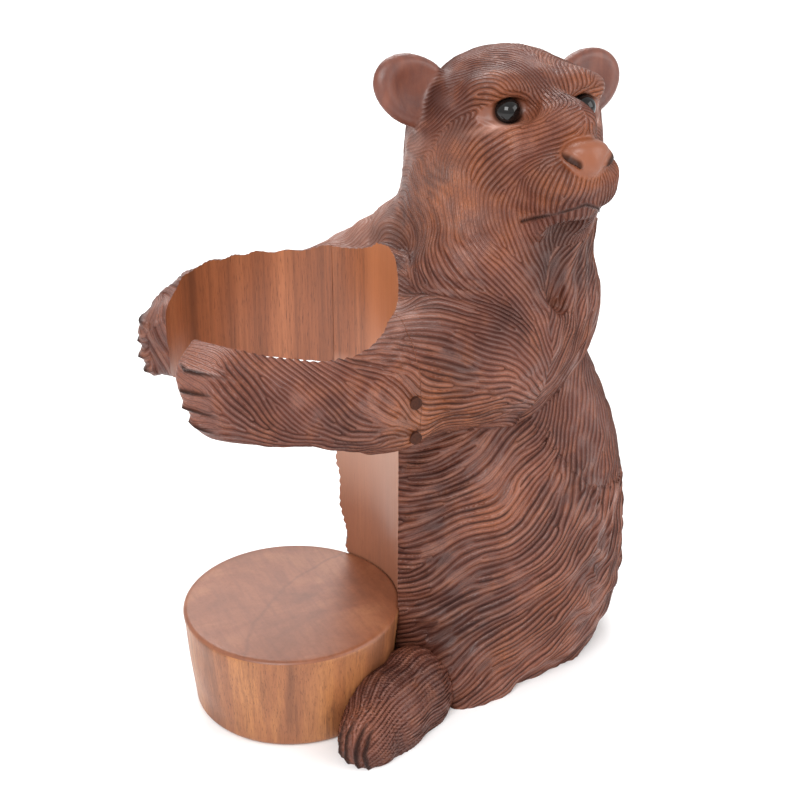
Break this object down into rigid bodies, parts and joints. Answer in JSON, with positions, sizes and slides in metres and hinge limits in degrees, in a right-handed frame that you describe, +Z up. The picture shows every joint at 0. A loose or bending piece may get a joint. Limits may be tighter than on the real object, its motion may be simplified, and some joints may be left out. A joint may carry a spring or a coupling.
{
  "type": "carved bear bottle holder",
  "caption": "Carved wooden seated bear, head turned to its left, whose ring of arms hugs an upright wine bottle standing on a round wooden base.",
  "frame": {"origin": "centre of the round bottle base, on the ground; the Z axis is the bottle's axis", "axes": "+Z up; -Y the side the arms and feet reach to; +X the bear's left, the side the head faces"},
  "size_m": [0.1438, 0.2109, 0.2769],
  "materials": {
    "carved_fur": "satin stained hardwood, carved in fine parallel grooves",
    "cut_wood": "satin oiled hardwood, smooth",
    "eye_bead": "glossy",
    "dowel_wood": "raw",
    "dark_filler": "satin"
  },
  "bodies": {
    "root": {"carved_body": "carved_fur", "left_arm": "carved_fur", "right_arm": "carved_fur", "bottle_base": "cut_wood", "left_foot": "carved_fur", "right_foot": "carved_fur", "left_eye": "eye_bead", "right_eye": "eye_bead", "arm_dowels": "dowel_wood", "base_dowels": "dowel_wood", "foot_dowels": "dowel_wood", "joint_plugs": "dark_filler"}
  },
  "joints": []
}
